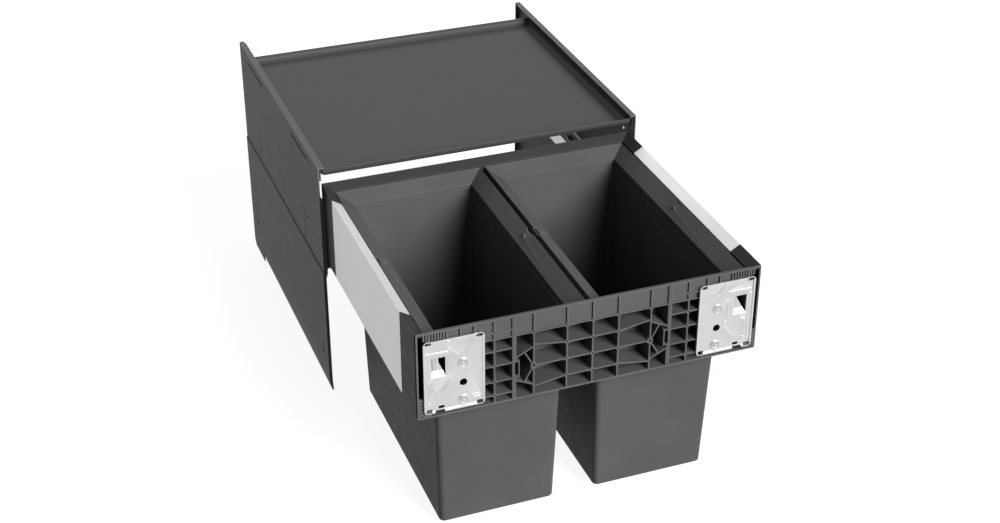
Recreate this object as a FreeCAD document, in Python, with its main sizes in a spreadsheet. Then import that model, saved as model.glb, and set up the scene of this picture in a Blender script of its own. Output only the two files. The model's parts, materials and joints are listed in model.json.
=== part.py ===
"""Pull-out waste sorter for a kitchen base cabinet, with two lift-out bins.

Millimetres, +Z up, the drawer pulled out towards -Y. The origin is on the floor, at
the middle of the whole unit's footprint. Every piece is drawn from its own datum: the
carcass from the front edges of its side panels, the drawer from its front plane.
"""
import FreeCAD, Part
import math
import os
import Sketcher

Vector = FreeCAD.Vector
Rotation = FreeCAD.Rotation

SIZES = {
    # carcass
    "width": 462.0, "depth": 450.0, "height": 353.5, "gauge": 1.5,
    "step_height": 192.0, "field_step": 1.2, "flange": 9.5, "flange_cut": 9.0,
    "wide_return": 6.8, "narrow_return": 4.5, "return_low": 192.0, "return_high": 305.0,
    "return_slope": 8.0, "bevel_drop": 16.0, "bevel_in": 3.5, "bevel_back": 386.0,
    "foot_flange": 2.0, "corner_cut": 8.0,
    "wall_hole": 2.75, "upper_hole_front": 37.0, "upper_hole_back": 421.0,
    "upper_hole_height": 318.0, "lower_hole_front": 21.0, "lower_hole_back": 411.0,
    "lower_hole_height": 57.0,
    "hole_dimple": 6.5, "dimple_depth": 0.6,
    "tab_front": 60.0, "tab_length": 84.0, "tab_back": 311.0, "tab_back_length": 106.0,
    "tab_slot": 3.4, "tab_reach": 16.0, "tab_slit_front": 34.0, "tab_slit": 1.4,
    "slit": 2.0, "slit_low": 198.0, "slit_high": 255.0, "slit_bend": 8.0,
    "slit_front": 92.0, "slit_back": 350.0, "hook_hole_back": 73.5, "hook_hole_height": 243.0,
    "hook_hole": 2.4, "sight_slit_back": 296.5, "sight_slit_low": 240.0, "sight_slit_length": 7.0,
    "gauge_hole_back": 238.0, "gauge_hole_height": 317.6, "gauge_hole": 1.7,
    # cover tray
    "tray_half": 225.2, "tray_front": 4.5, "tray_back": 400.0, "tray_low": 336.0,
    "tray_high": 347.5, "tray_gauge": 1.2, "tray_round": 10.0, "tray_corner": 5.0,
    # runners
    "rail_centre": 215.2, "rail_low": 194.0, "rail_high": 232.0, "rail_front": 8.0,
    "rail_back": 444.0, "rail_gauge": 1.2, "track_half": 2.5, "track_top": 215.5,
    "track_web": 0.8, "rail_gap": 0.3, "middle_front": 9.0, "middle_back": 429.0,
    "middle_low": 211.5, "drawer_rail_front": 30.0, "drawer_rail_back": 383.0,
    "drawer_rail_low": 208.5, "drawer_rail_half": 6.4, "roller": 2.0, "roller_gap": 0.05,
    "cage_length": 120.0, "cage_gauge": 1.2, "lower_cage_front": 156.5,
    "upper_cage_front": 139.5,
    # drawer
    "travel": 386.0, "plate_proud": 3.0, "drawer_half": 223.2, "drawer_low": 208.0,
    "drawer_high": 324.5, "side_wall": 1.5, "side_thick": 16.0, "side_drop": 7.9,
    "side_lean": 2.8, "side_shoulder": 286.0,
    "side_front": 57.5, "side_back": 347.0, "frame_back": 397.7, "corner_wall": 2.0,
    "frame_ledge": 298.0, "frame_front": 372.0, "frame_seat": 385.2,
    # front bracket
    "bracket_half": 222.15, "bracket_low": 206.1, "bracket_high": 324.9,
    "bracket_upper": 4.0, "bracket_depth": 31.5, "bracket_skin": 1.5, "rib": 1.7,
    "bracket_step": 24.5, "bracket_step_top": 289.0, "corner_front": 3.0, "joint_gap": 0.1,
    "node_tube": 2.7, "node_hole": 1.3,
    # front fixing plates
    "plate_inner": 139.0, "plate_outer": 214.5, "plate_low": 213.5, "plate_high": 314.0,
    "plate_gauge": 1.5, "plate_rim": 2.2, "plate_corner": 5.0, "slot_half_x": 31.5,
    "slot_half_z": 46.9, "slot_radius": 2.4, "slot_length": 8.5, "emboss": 0.6, "border": 0.4,
    "window_in": 187.2, "window_out": 204.2, "window_low": 263.0, "window_high": 289.6,
    "screw_column": 165.3, "screw_low": 223.5, "screw_high": 275.5, "screw_pad": 7.4,
    "centre_hole": 4.8, "centre_hole_height": 248.9, "side_slot_x": 193.0, "side_slot_z": 220.2,
    "side_slot_half": 2.0, "side_slot_radius": 2.0, "notch_in": 188.9, "notch_out": 201.0,
    "notch_depth": 2.7, "tongue_depth": 4.6, "tongue_rise": 5.0,
    # fasteners
    "rivet": 2.5, "rivet_head": 6.2, "rivet_head_thick": 0.8, "rivet_dish": 4.8,
    "rivet_dish_floor": 3.2, "rivet_dish_depth": 0.6, "rivet_button": 1.6, "rivet_reach": 12.0,
    "rail_rivet": 2.4, "rail_rivet_head": 4.0, "rail_rivet_head_thick": 1.4,
    "screw": 2.0, "screw_head": 3.6, "screw_head_thick": 1.6, "rail_screw_reach": 3.0,
    # bins
    "bin_inner": 3.6, "bin_outer": 208.0, "bin_front": 11.5, "bin_back": 384.0,
    "rim_top": 315.0, "rim_drop": 12.0, "rim_inset": 19.5, "rim_thick": 3.2,
    "rim_foot": 298.3, "skirt": 2.0, "neck_height": 292.0, "neck_inset": 17.8,
    "neck_front": 21.5, "bin_wall": 2.2, "bin_floor": 7.6, "floor_inner": 28.2,
    "floor_outer": 182.2, "floor_front": 44.6, "floor_back": 359.5, "bin_corner": 7.5,
    "bin_edge": 2.5, "collar_out": 15.2, "collar_in": 17.2, "lip_out": 18.0,
    "lip_low": 295.0, "handle_gap": 0.7, "flange_thick": 2.0,
    # handle pivots
    "pivot_back": 196.0, "pivot_height": 307.0, "pivot_round": 8.2, "pivot_clear": 8.7,
    "pin": 1.5, "pin_gap": 0.05, "pin_length": 8.0, "boss": 4.4, "boss_length": 8.0,
    "ear_half": 6.5, "ear_high": 311.5,
}

# Where each group of pieces has its own y = 0, worked out from the driving sizes.
CARCASS_Y = "-(dim.depth - dim.travel - dim.plate_proud) / 2"
DRAWER_Y = f"{CARCASS_Y} - dim.travel"
MIDDLE_Y = f"{CARCASS_Y} - dim.travel / 2"
LOWER_CAGE_Y = f"{CARCASS_Y} - dim.travel / 4"
UPPER_CAGE_Y = f"{CARCASS_Y} - dim.travel * 3 / 4"

doc = FreeCAD.newDocument("waste_sorter")
sheet = doc.addObject("Spreadsheet::Sheet", "dim")
for row, (alias, size) in enumerate(SIZES.items(), 1):
    sheet.set(f"A{row}", alias)
    sheet.set(f"B{row}", str(size))
    sheet.setAlias(f"B{row}", alias)
doc.recompute()

nodes = []


def size(alias):
    """The sheet's own value of one driving dimension."""
    return float(getattr(sheet, alias))


# ---------------------------------------------------------------- Part helpers
def box(name, x, y, z):
    """A block whose (low, high) pairs along X, Y and Z are expressions."""
    block = doc.addObject("Part::Box", name)
    for side, axis, (low, high) in (("Length", "x", x), ("Width", "y", y), ("Height", "z", z)):
        block.setExpression(side, f"({high}) - ({low})")
        block.setExpression(f"Placement.Base.{axis}", low)
    return block


def rod(name, axis, start, length, radius):
    """A round bar from a start point, along X, Y or Z."""
    bar = doc.addObject("Part::Cylinder", name)
    direction = Vector(*(1.0 if letter == axis else 0.0 for letter in "xyz"))
    bar.Placement = FreeCAD.Placement(Vector(), Rotation(Vector(0, 0, 1), direction))
    for letter, place in zip("xyz", start):
        bar.setExpression(f"Placement.Base.{letter}", place)
    bar.setExpression("Radius", radius)
    bar.setExpression("Height", length)
    return bar


def funnel(name, low, high, x, y, inset):
    """A block between two levels that narrows downwards by an inset on every side."""
    wedge = doc.addObject("Part::Wedge", name)
    wedge.Placement = FreeCAD.Placement(Vector(), Rotation(Vector(1, 0, 0), 90))
    sides = {
        "Ymin": low, "Ymax": high,
        "Xmin": f"{x[0]} + {inset}", "Xmax": f"{x[1]} - {inset}", "X2min": x[0], "X2max": x[1],
        "Zmin": f"-({y[1]} - {inset})", "Zmax": f"-({y[0]} + {inset})",
        "Z2min": f"-({y[1]})", "Z2max": f"-({y[0]})",
    }
    for side, place in sides.items():
        wedge.setExpression(side, place)
    return wedge


def cut(name, base, tool):
    result = doc.addObject("Part::Cut", name)
    result.Base = base
    result.Tool = tool
    result.Refine = True
    return result


def fuse(name, *shapes):
    result = doc.addObject("Part::MultiFuse", name)
    result.Shapes = list(shapes)
    result.Refine = True
    return result


def common(name, *shapes):
    result = doc.addObject("Part::MultiCommon", name)
    result.Shapes = list(shapes)
    return result


def group(name, *shapes):
    """Separate solids that stay separate in one node."""
    result = doc.addObject("Part::Compound", name)
    result.Links = list(shapes)
    return result


# ---------------------------------------------------------- PartDesign helpers
def new_body(name):
    return doc.addObject("PartDesign::Body", name)


def plane_of(body, name):
    return next(f for f in body.Origin.OriginFeatures if f.Role == f"{name}_Plane")


def sketch(body, name, plane, offset, loops=(), circles=()):
    """A sketch of corner loops and circles, each place and radius an expression."""
    drawing = body.newObject("Sketcher::SketchObject", name)
    drawing.AttachmentSupport = [(plane_of(body, plane), "")]
    drawing.MapMode = "FlatFace"
    drawing.setExpression("AttachmentOffset.Base.z", offset)
    for corners in loops:
        count = len(corners)
        first = drawing.GeometryCount
        turn = 2 * math.pi / count
        ring = [Vector(math.cos(i * turn), math.sin(i * turn), 0) * 100 for i in range(count)]
        lines = [Part.LineSegment(ring[i], ring[(i + 1) % count]) for i in range(count)]
        drawing.addGeometry(lines, False)
        for i, (across, up) in enumerate(corners):
            following = first + (i + 1) % count
            drawing.addConstraint(Sketcher.Constraint("Coincident", first + i, 2, following, 1))
            pin_point(drawing, first + i, 1, across, up)
    for across, up, radius in circles:
        circle = drawing.addGeometry(Part.Circle(Vector(), Vector(0, 0, 1), 10.0), False)
        pin_point(drawing, circle, 3, across, up)
        bind(drawing, Sketcher.Constraint("Radius", circle, 10.0), radius)
    return drawing


def bind(drawing, constraint, expression):
    index = drawing.addConstraint(constraint)
    drawing.setExpression(f"Constraints[{index}]", expression)


def pin_point(drawing, line, end, across, up):
    """Holds one point at a distance from the sketch's own origin."""
    bind(drawing, Sketcher.Constraint("DistanceX", -1, 1, line, end, 10.0), across)
    bind(drawing, Sketcher.Constraint("DistanceY", -1, 1, line, end, 10.0), up)


def rectangle(x0, x1, z0, z1):
    return [(x0, z0), (x1, z0), (x1, z1), (x0, z1)]


def extrude(body, name, kind, profile, length, backwards=False):
    """A Pad or a Pocket of one sketch."""
    feature = body.newObject(f"PartDesign::{kind}", name)
    feature.Profile = profile
    feature.setExpression("Length", length)
    feature.Reversed = backwards
    return feature


def edges_along(shape, direction):
    """Names of a shape's straight edges that run roughly along a direction."""
    found = []
    for index, edge in enumerate(shape.Edges, 1):
        if len(edge.Vertexes) == 2:
            run = edge.Vertexes[1].Point - edge.Vertexes[0].Point
            if run.Length > edge.Length * 0.999 and abs(run.dot(direction)) > run.Length * 0.9:
                found.append(f"Edge{index}")
    return found


def face_at(shape, axis, place):
    """The name of the flat face that looks along an axis at a place."""
    for index, face in enumerate(shape.Faces, 1):
        centre = face.CenterOfMass
        if abs(getattr(centre, axis) - place) < 0.01 and isinstance(face.Surface, Part.Plane):
            return f"Face{index}"
    raise ValueError(f"no face at {axis} = {place}")


def round_edges(body, name, base, edges, radius):
    feature = body.newObject("PartDesign::Fillet", name)
    feature.Base = (base, edges)
    feature.setExpression("Radius", radius)
    doc.recompute()
    return feature


def hollow(body, name, base, face, wall):
    """Shells a body inwards from one open face."""
    feature = body.newObject("PartDesign::Thickness", name)
    feature.Base = (base, [face])
    feature.setExpression("Value", wall)
    feature.Reversed = True
    doc.recompute()
    return feature


# -------------------------------------------------------------- finished nodes
def finish(piece, label, datum_y):
    """Names a piece, places it on its datum and lists it for export."""
    piece.Label = label
    piece.setExpression("Placement.Base.y", datum_y)
    nodes.append(piece)
    return piece


def finish_pair(piece, label, datum_y):
    """The right-hand piece, and the left-hand one as its mirror image."""
    finish(piece, f"right_{label}", datum_y)
    mirrored(piece, f"left_{label}", datum_y)


def mirrored(piece, label, datum_y):
    """A left-hand piece that is drawn in mirror image on the right."""
    piece.setExpression("Placement.Base.y", datum_y)
    left = doc.addObject("Part::Mirroring", f"mirror_{label}")
    left.Source = piece
    left.Normal = Vector(1, 0, 0)
    left.Label = label
    nodes.append(left)


def both_sides(name, piece):
    """A group of one piece and its mirror image."""
    twin = doc.addObject("Part::Mirroring", f"{name}_twin")
    twin.Source = piece
    twin.Normal = Vector(1, 0, 0)
    return group(name, piece, twin)


# --------------------------------------------------------------------- carcass
UPPER_OUT = "dim.width / 2 - dim.field_step"
UPPER_IN = f"{UPPER_OUT} - dim.gauge"
LOWER_OUT = "dim.width / 2"
LOWER_IN = f"{LOWER_OUT} - dim.gauge"
TAB_TOP = "dim.tray_low"
TAB_IN = "dim.tray_half - dim.tab_reach"
LAP = "1.5"


def panel_slots():
    """The slots beside the tray's tabs and the narrow slits in the upper field."""
    low = f"{TAB_TOP} + dim.gauge"
    high = f"{low} + dim.tab_slot"
    front_end = "dim.tab_front + dim.tab_length"
    slit_low = f"{low} + (dim.tab_slot - dim.tab_slit) / 2"
    slit_high = f"{slit_low} + dim.tab_slit"
    slots = [
        [("dim.tab_slit_front", slit_low), ("dim.tab_front", slit_low), ("dim.tab_front", low),
         (front_end, low), (front_end, high), ("dim.tab_front", high), ("dim.tab_front", slit_high),
         ("dim.tab_slit_front", slit_high)],
        rectangle("dim.tab_back", "dim.tab_back + dim.tab_back_length", low, high),
        rectangle("dim.sight_slit_back", "dim.sight_slit_back + dim.slit", "dim.sight_slit_low",
                  "dim.sight_slit_low + dim.sight_slit_length"),
    ]
    for place, bend in (("dim.slit_front", "0"), ("dim.slit_back", "dim.slit_bend")):
        slots.append([
            (place, "dim.slit_low"), (f"{place} + dim.slit", "dim.slit_low"),
            (f"{place} + dim.slit", "dim.slit_high - dim.slit_bend"),
            (f"{place} + dim.slit + {bend}", "dim.slit_high"), (f"{place} + {bend}", "dim.slit_high"),
            (place, "dim.slit_high - dim.slit_bend"),
        ])
    return slots


def panel_holes(lower_places):
    upper_places = [(f"dim.upper_hole_{end}", "dim.upper_hole_height") for end in ("front", "back")]
    holes = [(*place, "dim.wall_hole") for place in upper_places + lower_places]
    holes.append(("dim.hook_hole_back", "dim.hook_hole_height", "dim.hook_hole"))
    holes.append(("dim.gauge_hole_back", "dim.gauge_hole_height", "dim.gauge_hole"))
    return holes


def side_panel(rivets):
    """A folded sheet-steel wall: upper field, outset lower field, flanges, tabs, holes."""
    body = new_body("side_panel")
    upper = sketch(body, "upper_outline", "YZ", UPPER_IN,
                   [rectangle("0", "dim.depth", f"dim.step_height - {LAP}", "dim.height")])
    extrude(body, "upper_field", "Pad", upper, "dim.gauge")
    lower_corners = [
        ("0", "dim.bevel_drop"), ("dim.bevel_back", "dim.bevel_drop"), ("dim.bevel_back", "0"),
        ("dim.depth - dim.corner_cut", "0"), ("dim.depth", "dim.corner_cut"),
        ("dim.depth", f"dim.step_height + {LAP}"), ("0", f"dim.step_height + {LAP}"),
    ]
    lower = sketch(body, "lower_outline", "YZ", LOWER_IN, [lower_corners])
    extrude(body, "lower_field", "Pad", lower, "dim.gauge")

    step = sketch(body, "step_outline", "XZ", "0", [
        rectangle(UPPER_IN, LOWER_OUT, f"dim.step_height - {LAP}", f"dim.step_height + {LAP}")])
    extrude(body, "step", "Pad", step, "dim.depth", backwards=True)

    flange_in = "dim.width / 2 - dim.flange"
    top = sketch(body, "top_outline", "XY", "dim.height - dim.gauge", [[
        (flange_in, "0"), (UPPER_OUT, "0"), (UPPER_OUT, "dim.depth"),
        ("dim.width / 2 - dim.flange / 2", "dim.depth"), (flange_in, "dim.depth - dim.flange_cut"),
    ]])
    extrude(body, "top_flange", "Pad", top, "dim.gauge")

    back = sketch(body, "back_outline", "XZ", "-(dim.depth - dim.gauge)", [
        rectangle("dim.width / 2 - dim.flange + 1", UPPER_OUT, "dim.corner_cut", "dim.height")])
    extrude(body, "back_flange", "Pad", back, "dim.gauge", backwards=True)

    wide = "dim.width / 2 - dim.wide_return"
    narrow = "dim.width / 2 - dim.narrow_return"
    foot_in = "dim.width / 2 - dim.bevel_in - dim.foot_flange"
    front = sketch(body, "front_outline", "XZ", "0", [[
        (LOWER_OUT, "dim.bevel_drop"), (LOWER_OUT, "dim.step_height"), (UPPER_OUT, "dim.step_height"),
        (UPPER_OUT, "dim.return_high + dim.return_slope"), (wide, "dim.return_high"),
        (wide, "dim.return_low"), (narrow, "dim.return_low - dim.return_slope"),
        (narrow, "dim.bevel_drop"), (foot_in, "0"), ("dim.width / 2 - dim.bevel_in", "0"),
    ]])
    extrude(body, "front_return", "Pad", front, "dim.gauge", backwards=True)

    bevel = sketch(body, "bevel_outline", "XZ", "0", [[
        (LOWER_OUT, "dim.bevel_drop"), (LOWER_OUT, "dim.bevel_drop + 1"),
        (LOWER_IN, "dim.bevel_drop + 1"), ("dim.width / 2 - dim.bevel_in - dim.gauge", "dim.gauge"),
        (foot_in, "dim.gauge"), (foot_in, "0"), ("dim.width / 2 - dim.bevel_in", "0"),
    ]])
    extrude(body, "foot_fold", "Pad", bevel, "dim.bevel_back", backwards=True)

    tabs = sketch(body, "tab_outline", "XY", f"{TAB_TOP} - dim.gauge", [
        rectangle(TAB_IN, UPPER_OUT, "dim.tab_front", "dim.tab_front + dim.tab_length"),
        rectangle(TAB_IN, UPPER_OUT, "dim.tab_back", "dim.tab_back + dim.tab_back_length"),
    ])
    extrude(body, "tray_tabs", "Pad", tabs, "dim.gauge")

    lower_places = [(f"dim.lower_hole_{end}", "dim.lower_hole_height") for end in ("front", "back")]
    dimples = sketch(body, "dimple_outline", "YZ", LOWER_OUT,
                     circles=[(*place, "dim.hole_dimple") for place in lower_places])
    extrude(body, "dimples", "Pocket", dimples, "dim.dimple_depth")
    openings = sketch(body, "opening_outline", "YZ", "dim.width / 2 - dim.flange",
                      panel_slots(), panel_holes(lower_places))
    extrude(body, "openings", "Pocket", openings, "2 * dim.flange", backwards=True)
    finish_pair(cut("panel_drilled", body, rivets), "side_panel", CARCASS_Y)


def cover_tray():
    """The pressed steel shelf tray that closes the bay above the drawer."""
    body = new_body("tray_body")
    outline = sketch(body, "tray_outline", "XY", "dim.tray_low", [
        rectangle("-dim.tray_half", "dim.tray_half", "dim.tray_front", "dim.tray_back")])
    block = extrude(body, "tray_block", "Pad", outline, "dim.tray_high - dim.tray_low")
    doc.recompute()
    upright = edges_along(block.Shape, Vector(0, 0, 1))
    corners = round_edges(body, "tray_corners", block, upright, "dim.tray_corner")
    bottom = face_at(corners.Shape, "z", size("tray_low"))
    fold = round_edges(body, "tray_fold", corners, [bottom], "dim.tray_round")
    top = face_at(fold.Shape, "z", size("tray_high"))
    hollow(body, "tray_hollow", fold, top, "dim.tray_gauge")
    finish(body, "cover_tray", CARCASS_Y)


def tray_clip():
    """A plastic hook in the gap beside the tray's front corner."""
    post = box("clip_post", ("dim.tray_half + 0.1", f"{UPPER_IN} - 0.1"),
               ("dim.tray_front - 1.5", "dim.tray_front + 9"), ("dim.tray_low - 3", "dim.tray_high + 2.5"))
    hook = box("clip_hook", ("dim.tray_half - 5", f"{UPPER_IN} - 0.1"),
               ("dim.tray_front - 1.5", "dim.tray_front + 9"),
               ("dim.tray_high + 0.3", "dim.tray_high + 2.5"))
    finish_pair(fuse("clip", post, hook), "tray_clip", CARCASS_Y)


# --------------------------------------------------------------------- runners
def around_rail(half):
    return (f"dim.rail_centre - ({half})", f"dim.rail_centre + ({half})")


MIDDLE_IN = "dim.track_half + dim.rail_gap"
MIDDLE_OUT = f"{MIDDLE_IN} + dim.rail_gauge"
DRAWER_RAIL_IN = f"{MIDDLE_OUT} + dim.rail_gap"
MIDDLE_UNDER = "dim.track_top + 2 * (dim.roller + dim.roller_gap)"
MIDDLE_TOP = f"{MIDDLE_UNDER} + dim.rail_gauge"
DRAWER_RAIL_UNDER = f"{MIDDLE_TOP} + 2 * (dim.roller + dim.roller_gap)"
DRAWER_RAIL_TOP = f"{DRAWER_RAIL_UNDER} + dim.rail_gauge"


def cabinet_rail(rivets):
    """The fixed member: a wall flange, a floor and an upright track with a flat head."""
    span = ("dim.rail_front", "dim.rail_back")
    wall = box("rail_wall", (f"{UPPER_IN} - dim.gauge", UPPER_IN), span, ("dim.rail_low", "dim.rail_high"))
    floor = box("rail_floor", ("dim.rail_centre - dim.track_web", UPPER_IN), span,
                ("dim.rail_low", "dim.rail_low + dim.gauge"))
    web = box("rail_web", around_rail("dim.track_web"), span, ("dim.rail_low", "dim.track_top"))
    head = box("rail_head", around_rail("dim.track_half"), span,
               ("dim.track_top - dim.gauge", "dim.track_top"))
    rail = fuse("fixed_rail", wall, floor, web, head)
    finish_pair(cut("fixed_rail_drilled", rail, rivets), "cabinet_rail", CARCASS_Y)


def channel_rail(name, inner, outer, low, top, span):
    """An upside-down channel with hooks turned in under the member that it rides on."""
    block = box(f"{name}_block", around_rail(outer), span, (low, top))
    inside = box(f"{name}_inside", around_rail(inner), (f"{span[0]} - 1", f"{span[1]} + 1"),
                 (f"{low} + dim.rail_gauge", f"{top} - dim.rail_gauge"))
    throat = box(f"{name}_throat", around_rail("dim.track_web + dim.rail_gap + 0.2"),
                 (f"{span[0]} - 1", f"{span[1]} + 1"), (f"{low} - 1", f"{low} + dim.rail_gauge + 1"))
    return cut(name, block, fuse(f"{name}_space", inside, throat))


def middle_rail():
    rail = channel_rail("middle_member", MIDDLE_IN, MIDDLE_OUT, "dim.middle_low", MIDDLE_TOP,
                        ("dim.middle_front", "dim.middle_back"))
    finish_pair(rail, "middle_rail", MIDDLE_Y)


def drawer_rail(screws):
    rail = channel_rail("drawer_member", DRAWER_RAIL_IN, "dim.drawer_rail_half",
                        "dim.drawer_rail_low", DRAWER_RAIL_TOP,
                        ("dim.drawer_rail_front", "dim.drawer_rail_back"))
    finish_pair(cut("drawer_member_drilled", rail, screws), "drawer_rail", DRAWER_Y)


def roller_cage(label, half, base, front, datum):
    """A flat cage strip and the row of rollers in its windows."""
    count = 5
    axis_height = f"{base} + dim.roller + dim.roller_gap"
    strip = box(f"{label}_strip", around_rail(half), (front, f"{front} + dim.cage_length"),
                (f"{axis_height} - dim.cage_gauge / 2", f"{axis_height} + dim.cage_gauge / 2"))
    windows = []
    rollers = []
    for index in range(count):
        place = f"{front} + dim.cage_length * ({index} + 0.5) / {count}"
        windows.append(box(f"{label}_window_{index}", around_rail(f"({half}) - 0.5"),
                           (f"{place} - dim.roller - 0.1", f"{place} + dim.roller + 0.1"),
                           (base, f"{base} + 2 * dim.roller")))
        start = (f"dim.rail_centre - ({half}) + 0.6", place, axis_height)
        rollers.append(rod(f"{label}_roller_{index}", "x", start, f"2 * ({half}) - 1.2", "dim.roller"))
    finish_pair(cut(f"{label}_cage", strip, fuse(f"{label}_windows", *windows)),
                f"{label}_roller_cage", datum)
    finish_pair(group(f"{label}_roller_row", *rollers), f"{label}_rollers", datum)


# ---------------------------------------------------------------------- drawer
SIDE_IN = "dim.drawer_half - dim.side_thick"
SIDE_TOP_IN = "dim.drawer_high - dim.side_drop"
FOLD_SHIFT = "0.414"


def hollow_side(wall):
    """Outline and inner loop of the drawer side's profile, open at the bottom.

    The inner wall leans out at a shoulder, which leaves room for the bins' rims above it.
    """
    inner_out = f"dim.drawer_half - {wall}"
    inner_in = f"{SIDE_IN} + {wall}"
    upper_in = f"{SIDE_IN} + dim.side_lean"
    fall = "dim.side_drop / (dim.side_thick - dim.side_lean)"
    outline = [
        ("dim.drawer_half", "dim.drawer_low"), ("dim.drawer_half", "dim.drawer_high"),
        (upper_in, SIDE_TOP_IN), (upper_in, "dim.side_shoulder"),
        (SIDE_IN, "dim.side_shoulder - dim.side_lean"), (SIDE_IN, "dim.drawer_low"),
        (inner_in, "dim.drawer_low"),
        (inner_in, DRAWER_RAIL_TOP), (inner_out, DRAWER_RAIL_TOP), (inner_out, "dim.drawer_low"),
    ]
    chamber = [
        (inner_in, f"{DRAWER_RAIL_TOP} + {wall}"), (inner_out, f"{DRAWER_RAIL_TOP} + {wall}"),
        (inner_out, f"dim.drawer_high - {wall} * (1.1 + {fall})"),
        (f"{upper_in} + {wall}", f"{SIDE_TOP_IN} - {wall} * (1.1 - {fall})"),
        (f"{upper_in} + {wall}", f"dim.side_shoulder - {FOLD_SHIFT} * {wall}"),
        (inner_in, f"dim.side_shoulder - dim.side_lean - {FOLD_SHIFT} * {wall}"),
    ]
    return outline, chamber


def drawer_side(screws):
    """The silver double-walled side, which stands on the drawer rail."""
    body = new_body("side_body")
    outline, chamber = hollow_side("dim.side_wall")
    profile = sketch(body, "side_profile", "XZ", "-(dim.side_front)", [outline, chamber])
    extrude(body, "side_extrusion", "Pad", profile, "dim.side_back - dim.side_front", backwards=True)
    finish_pair(cut("side_drilled", body, screws), "drawer_side", DRAWER_Y)


def front_corner(screws):
    """The moulded corner between the bracket and the side, with a tongue into the side."""
    body = new_body("front_corner_body")
    outline, chamber = hollow_side("dim.side_wall")
    profile = sketch(body, "front_corner_profile", "XZ", "-dim.corner_front", [outline, chamber])
    extrude(body, "front_corner_shell", "Pad", profile, "dim.side_front - dim.corner_front",
            backwards=True)
    wall_in = f"{SIDE_IN} + dim.side_wall"
    wall_out = "dim.drawer_half - dim.side_wall"
    stop = sketch(body, "front_corner_stop", "XZ", "-(dim.side_front - 6)", [
        rectangle(wall_in, wall_out, f"{DRAWER_RAIL_TOP} + 1", "dim.side_shoulder - 5")])
    extrude(body, "front_corner_bulkhead", "Pad", stop, "dim.corner_wall", backwards=True)
    tongue = sketch(body, "front_tongue_outline", "XZ", "-(dim.side_front - 5)", [
        rectangle(f"{wall_in} + 0.2", f"{wall_out} - 0.2", "dim.drawer_low + 30", "dim.side_shoulder - 8")])
    extrude(body, "front_tongue", "Pad", tongue, "15", backwards=True)
    finish_pair(cut("front_corner_drilled", body, screws), "front_corner", DRAWER_Y)


def rear_corner(screws):
    """The moulded corner behind the side; its top is mitred into the rear frame's."""
    body = new_body("rear_corner_body")
    outline, chamber = hollow_side("dim.side_wall")
    profile = sketch(body, "rear_corner_profile", "XZ", "-(dim.side_back)", [outline, chamber])
    extrude(body, "rear_corner_shell", "Pad", profile, "dim.frame_back - dim.side_back",
            backwards=True)
    back = "dim.frame_back"
    upper_back = sketch(body, "rear_corner_back", "YZ", SIDE_IN, [[
        (f"{back} - 2", f"{DRAWER_RAIL_TOP} + 1"), (back, f"{DRAWER_RAIL_TOP} + 1"),
        (back, "dim.drawer_high"), ("dim.frame_seat", SIDE_TOP_IN),
        ("dim.frame_seat", f"{SIDE_TOP_IN} - 2.5"), (f"{back} - 2", "dim.drawer_high - 3.5"),
    ]])
    extrude(body, "rear_corner_mitre", "Pad", upper_back, "dim.side_thick")
    stop = sketch(body, "rear_corner_stop", "XZ", "-dim.side_back", [
        rectangle(f"{SIDE_IN} + dim.side_wall", "dim.drawer_half - dim.side_wall",
                  f"{DRAWER_RAIL_TOP} + 1", "dim.side_shoulder - 5")])
    extrude(body, "rear_corner_bulkhead", "Pad", stop, "dim.corner_wall", backwards=True)
    tongue = sketch(body, "rear_tongue_outline", "XZ", "-(dim.side_back - 10)", [
        rectangle(f"{SIDE_IN} + dim.side_wall + 0.2", "dim.drawer_half - dim.side_wall - 0.2",
                  "dim.drawer_low + 30", "dim.side_shoulder - 8")])
    extrude(body, "rear_tongue", "Pad", tongue, "12", backwards=True)
    finish_pair(cut("rear_corner_drilled", body, screws), "rear_corner", DRAWER_Y)


def rear_frame(screws):
    """The cross member behind the bins: a sloped top, a back wall and the bins' rear ledge."""
    body = new_body("rear_frame_body")
    half = f"{SIDE_IN} - 0.1"
    back = "dim.frame_back"
    profile = sketch(body, "rear_profile", "YZ", f"-({half})", [[
        (back, "dim.drawer_low"), (back, "dim.drawer_high"), ("dim.frame_seat", SIDE_TOP_IN),
        ("dim.frame_seat", "dim.frame_ledge"), ("dim.frame_front", "dim.frame_ledge"),
        ("dim.frame_front", "dim.frame_ledge - 9"), ("dim.frame_front + 2", "dim.frame_ledge - 9"),
        ("dim.frame_front + 2", "dim.frame_ledge - 2"), ("dim.frame_seat + 2", "dim.frame_ledge - 2"),
        ("dim.frame_seat + 2", f"{SIDE_TOP_IN} - 1"), (f"{back} - 2", "dim.drawer_high - 3.5"),
        (f"{back} - 2", "dim.drawer_low"),
    ]])
    extrude(body, "rear_beam", "Pad", profile, f"2 * ({half})")
    ends = sketch(body, "rear_ends", "YZ", f"-({half})", [
        rectangle("dim.frame_front + 3", f"{back} - 1", "dim.drawer_low", "dim.frame_ledge - 1")])
    extrude(body, "rear_end", "Pad", ends, "dim.corner_wall")
    other = sketch(body, "rear_other_end", "YZ", f"{half} - dim.corner_wall", [
        rectangle("dim.frame_front + 3", f"{back} - 1", "dim.drawer_low", "dim.frame_ledge - 1")])
    extrude(body, "rear_far_end", "Pad", other, "dim.corner_wall")
    ribs = sketch(body, "rear_rib", "YZ", "-dim.rib / 2", [
        rectangle("dim.frame_seat", f"{back} - 1", "dim.drawer_low", "dim.frame_ledge - 1")])
    extrude(body, "rear_middle_rib", "Pad", ribs, "dim.rib")
    finish(cut("rear_frame_drilled", body, screws), "rear_frame", DRAWER_Y)


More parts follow.
